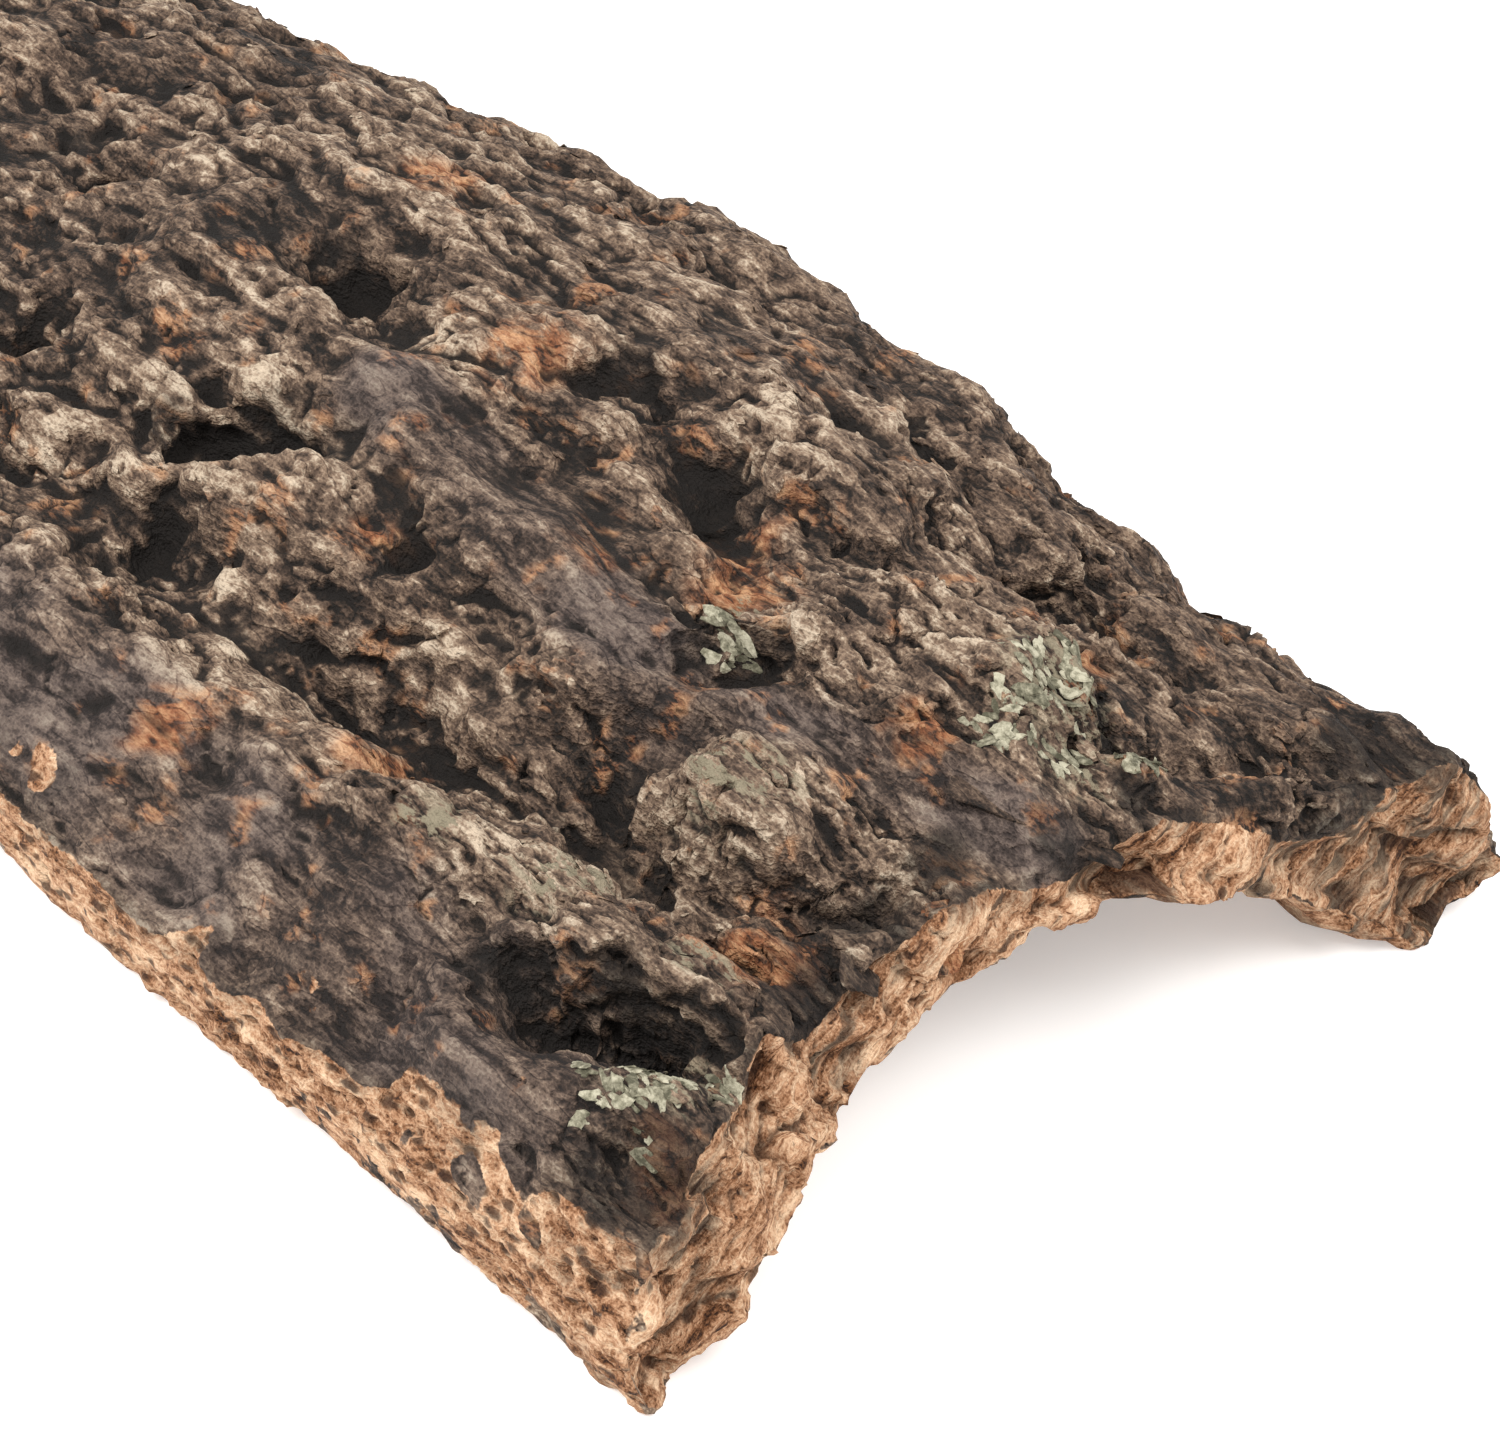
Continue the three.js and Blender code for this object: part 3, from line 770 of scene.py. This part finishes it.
def scatterTree(name, collection, look, groupName):
    tree = bpy.data.node_groups.new(name, "GeometryNodeTree")
    tree.interface.new_socket("Geometry", in_out="INPUT", socket_type="NodeSocketGeometry")
    tree.interface.new_socket("Geometry", in_out="OUTPUT", socket_type="NodeSocketGeometry")
    make = tree.nodes.new
    join = tree.links.new
    start = make("NodeGroupInput")
    end = make("NodeGroupOutput")
    weight = make("GeometryNodeInputNamedAttribute")
    weight.data_type = "FLOAT"
    weight.inputs["Name"].default_value = groupName
    points = make("GeometryNodeDistributePointsOnFaces")
    points.distribute_method = "POISSON"
    points.inputs["Distance Min"].default_value = look["every"]
    points.inputs["Density Max"].default_value = 1.6 / look["every"] ** 2
    points.inputs["Seed"].default_value = look["seed"]
    join(start.outputs[0], points.inputs["Mesh"])
    join(weight.outputs["Attribute"], points.inputs["Density Factor"])
    tilt = make("FunctionNodeRandomValue")
    tilt.data_type = "FLOAT_VECTOR"
    tilt.inputs[0].default_value = (-look["tilt"], -look["tilt"], -0.7)
    tilt.inputs[1].default_value = (look["tilt"], look["tilt"], 0.7)
    tilt.inputs["Seed"].default_value = look["seed"] + 1
    flipSide = make("FunctionNodeRandomValue")
    flipSide.data_type = "INT"
    flipSide.inputs[4].default_value = 0
    flipSide.inputs[5].default_value = 1
    flipSide.inputs["Seed"].default_value = look["seed"] + 5
    halfTurn = make("ShaderNodeMath")
    halfTurn.operation = "MULTIPLY"
    halfTurn.inputs[1].default_value = math.pi
    join(flipSide.outputs[2], halfTurn.inputs[0])
    turnOver = make("ShaderNodeCombineXYZ")
    join(halfTurn.outputs[0], turnOver.inputs["Z"])
    allTurn = make("ShaderNodeVectorMath")
    allTurn.operation = "ADD"
    join(tilt.outputs[0], allTurn.inputs[0])
    join(turnOver.outputs[0], allTurn.inputs[1])
    upright = make("FunctionNodeAlignRotationToVector")
    upright.axis = "Z"
    join(points.outputs["Normal"], upright.inputs["Vector"])
    lengthwise = make("FunctionNodeAlignRotationToVector")
    lengthwise.axis = "X"
    lengthwise.pivot_axis = "Z"
    lengthwise.inputs["Vector"].default_value = (1, 0, 0)
    join(upright.outputs[0], lengthwise.inputs["Rotation"])
    turned = make("FunctionNodeRotateRotation")
    turned.rotation_space = "LOCAL"
    join(lengthwise.outputs[0], turned.inputs["Rotation"])
    join(allTurn.outputs[0], turned.inputs["Rotate By"])
    size = make("FunctionNodeRandomValue")
    size.data_type = "FLOAT"
    size.inputs[2].default_value = look["size"][0]
    size.inputs[3].default_value = look["size"][1]
    size.inputs["Seed"].default_value = look["seed"] + 2
    shapes = make("GeometryNodeCollectionInfo")
    shapes.inputs["Collection"].default_value = collection
    shapes.inputs["Separate Children"].default_value = True
    shapes.inputs["Reset Children"].default_value = True
    place = make("GeometryNodeInstanceOnPoints")
    place.inputs["Pick Instance"].default_value = True
    join(points.outputs["Points"], place.inputs["Points"])
    join(shapes.outputs[0], place.inputs["Instance"])
    join(turned.outputs[0], place.inputs["Rotation"])
    join(size.outputs[1], place.inputs["Scale"])
    sink = make("GeometryNodeTranslateInstances")
    sink.inputs["Translation"].default_value = (0, 0, look["lift"])
    join(place.outputs[0], sink.inputs[0])
    tone = make("FunctionNodeRandomValue")
    tone.data_type = "FLOAT"
    tone.inputs["Seed"].default_value = look["seed"] + 3
    keep = make("GeometryNodeStoreNamedAttribute")
    keep.domain = "INSTANCE"
    keep.data_type = "FLOAT"
    keep.inputs["Name"].default_value = "tone"
    join(sink.outputs[0], keep.inputs["Geometry"])
    join(tone.outputs[1], keep.inputs["Value"])
    real = make("GeometryNodeRealizeInstances")
    join(keep.outputs[0], real.inputs[0])
    join(real.outputs[0], end.inputs[0])
    return tree


def scatter(name, target, shapes, look, groupName, material):
    obj = bpy.data.objects.new(name, target.data.copy())
    scene.collection.objects.link(obj)
    pick(obj)
    modifier = obj.modifiers.new(name, "NODES")
    modifier.node_group = scatterTree(name + "Tree", shapes, look, groupName)
    bpy.ops.object.modifier_apply(modifier=modifier.name)
    points = readVectors(obj.data, "co")
    points[:, 2] = np.clip(points[:, 2], 0, cadHigh.z + flakeLook["overTop"])
    obj.data.vertices.foreach_set("co", points.astype(np.float32).ravel())
    obj.data.materials.clear()
    obj.data.materials.append(material)
    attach(obj, "root")
    obj.data.calc_loop_triangles()
    print(name, len(obj.data.loop_triangles), "triangles")
    return obj


def newCollection(name):
    collection = bpy.data.collections.new(name)
    scene.collection.children.link(collection)
    return collection


def dropCollection(collection):
    for obj in list(collection.objects):
        bpy.data.objects.remove(obj)
    bpy.data.collections.remove(collection)


def buildFlakes(target):
    shapes = newCollection("flakeShapes")
    for number in range(8):
        modelFlake(number, shapes)
    mesh = target.data
    bark = fade(readAttribute(mesh, "bark"), 0.75, 1.0) * readAttribute(mesh, "level")
    smooth = readAttribute(mesh, "smooth")
    hollow = readAttribute(mesh, "hollow")
    pale = readAttribute(mesh, "pale")
    giveAttribute(mesh, "largeFlakes", 0.28 * bark * (1 - smooth) * fade(hollow, -0.1, 0.2))
    rough = bark * (1 - 0.85 * smooth)
    giveAttribute(mesh, "mediumFlakes", rough * fade(hollow, -0.4, 0.1) * (0.3 + 0.7 * pale))
    scatter("largeFlakes", target, shapes, flakeLook["large"], "largeFlakes", flakeMaterial)
    scatter("mediumFlakes", target, shapes, flakeLook["medium"], "mediumFlakes", flakeMaterial)
    dropCollection(shapes)


buildFlakes(corkSlab)


# shards sunk into the torn end: a long splinter, a dark flake and a red lump

shardLook = [
    {"name": "splinter", "start": (206, 6, 54), "end": (237, 24, 44), "width": 6.5, "thick": 1.5,
     "tone": 0.45, "char": 0.35, "rust": 0.0, "pale": 0.0, "broad": 0.4, "seed": 2},
    {"name": "darkFlake", "start": (224, -38, 44), "end": (229, -33, 38), "width": 8.5, "thick": 1.2,
     "tone": 0.35, "char": 0.6, "rust": 0.0, "pale": 0.0, "broad": 0.5, "seed": 5},
    {"name": "redLump", "start": (224, -13, 46), "end": (232, -17, 35), "width": 8.0, "thick": 4.2,
     "tone": 0.5, "char": 0.0, "rust": 1.0, "pale": 0.0, "broad": 0.5, "seed": 8},
]


def buildShard(look):
    start, end = (Vector(look[key]) / 1000 for key in ("start", "end"))
    bpy.ops.object.select_all(action="DESELECT")
    bpy.ops.mesh.primitive_cube_add(size=1, location=(0, 0, 0))
    shard = bpy.context.object
    shard.name = look["name"]
    bpy.ops.object.mode_set(mode="EDIT")
    bpy.ops.mesh.select_all(action="SELECT")
    bpy.ops.mesh.subdivide(number_cuts=5)
    bpy.ops.object.mode_set(mode="OBJECT")
    applyModifier(shard, "SUBSURF", "roundOff", levels=1, render_levels=1)
    along = end - start
    turn = along.to_track_quat("X", "Z")
    for vertex in shard.data.vertices:
        x, y, z = vertex.co
        taper = 1 - 0.8 * max(0.0, x + 0.1) - 0.35 * max(0.0, -x)
        rough = perlin.noise_vector(Vector((x * 5, y * 2, z * 2)) + Vector((look["seed"], 0, 0)))
        wave = 0.0003 * math.sin(x * 5 + look["seed"])
        placed = Vector((
            x * along.length,
            (y * taper + 0.22 * rough[1]) * look["width"] / 1000 + wave * 0.6,
            (z * taper + 0.3 * rough[2]) * look["thick"] / 1000 + wave,
        ))
        vertex.co = start + along / 2 + turn @ placed
    for name in ("tone", "char", "rust", "pale", "broad"):
        giveAttribute(shard.data, name, np.full(len(shard.data.vertices), look[name]))
    shard.data.materials.append(flakeMaterial)
    pick(shard)
    bpy.ops.object.shade_smooth()
    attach(shard, "root")


for shape in shardLook:
    buildShard(shape)
print("shards made")


# lichens: many small curled lobes in loose patches, in place of the plain plates of the solids

lobeLook = {"every": 0.0017, "size": (0.0034, 0.0072), "tilt": 0.11, "lift": 0.0001, "seed": 31}


def buildLichens(target):
    shapes = newCollection("lobeShapes")
    for number in range(20, 26):
        modelFlake(number, shapes)
    points = readVectors(target.data, "co")
    patches = np.array([perlin.noise(Vector(p) * 190) for p in points])
    lichen = readAttribute(target.data, "lichen")
    weight = fade(lichen + 1.3 * patches, 0.45, 0.6) * (lichen > 0.02)
    weight = weight * readAttribute(target.data, "level")
    giveAttribute(target.data, "lobes", weight * fade(readAttribute(target.data, "bark"), 0.7, 0.95))
    lobes = scatter("lichenLobes", target, shapes, lobeLook, "lobes", lichenMaterial)
    dropCollection(shapes)
    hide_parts("lichen_crest", "lichen_ledge", "lichen_fork", "lichen_lobe")


buildLichens(corkSlab)
print("lichens made")


# floor, light and camera

stageLook = {
    "floor": "#f4f3f1",
    "floorGlow": 0.3,
    "floorSize": 8,
    "worldStrength": 1.0,
    "lamps": [((-0.25, -0.9, 1.2), 16.0, 0.8), ((0.9, 0.5, 1.0), 10.0, 0.8)],
    "cameraPlace": (0.67207, -0.44304, 0.55781),
    "cameraTurn": 49.5,
    "cameraDrop": 37.0,
    "lens": 100.8,
}


def buildStage():
    scene.view_settings.view_transform = "Standard"
    bpy.ops.object.select_all(action="DESELECT")
    bpy.ops.mesh.primitive_plane_add(size=stageLook["floorSize"], location=(0, 0, 0))
    floor = bpy.context.object
    floor.name = "floor"
    material, _, shader = newMaterial("floorFinish")
    shader.inputs["Base Color"].default_value = colour(stageLook["floor"])
    shader.inputs["Roughness"].default_value = 1.0
    shader.inputs["Emission Color"].default_value = (1, 1, 1, 1)
    shader.inputs["Emission Strength"].default_value = stageLook["floorGlow"]
    material.cycles.emission_sampling = "NONE"
    floor.data.materials.append(material)
    world = bpy.data.worlds.new("softRoom")
    world.use_nodes = True
    world.node_tree.nodes["Background"].inputs["Color"].default_value = (1, 1, 1, 1)
    world.node_tree.nodes["Background"].inputs["Strength"].default_value = stageLook["worldStrength"]
    scene.world = world
    for place, energy, size in stageLook["lamps"]:
        bpy.ops.object.light_add(type="AREA", location=place)
        lamp = bpy.context.object
        lamp.data.energy = energy
        lamp.data.size = size
        lamp.rotation_euler = (-Vector(place)).to_track_quat("-Z", "Y").to_euler()
    turn, drop = math.radians(stageLook["cameraTurn"]), math.radians(stageLook["cameraDrop"])
    look = Vector((-math.sin(turn) * math.cos(drop), math.cos(turn) * math.cos(drop), -math.sin(drop)))
    bpy.ops.object.camera_add(location=stageLook["cameraPlace"])
    camera = bpy.context.object
    camera.data.lens = stageLook["lens"]
    camera.data.sensor_width = 36
    camera.rotation_euler = look.to_track_quat("-Z", "Y").to_euler()
    scene.camera = camera


buildStage()
print("scene ready")
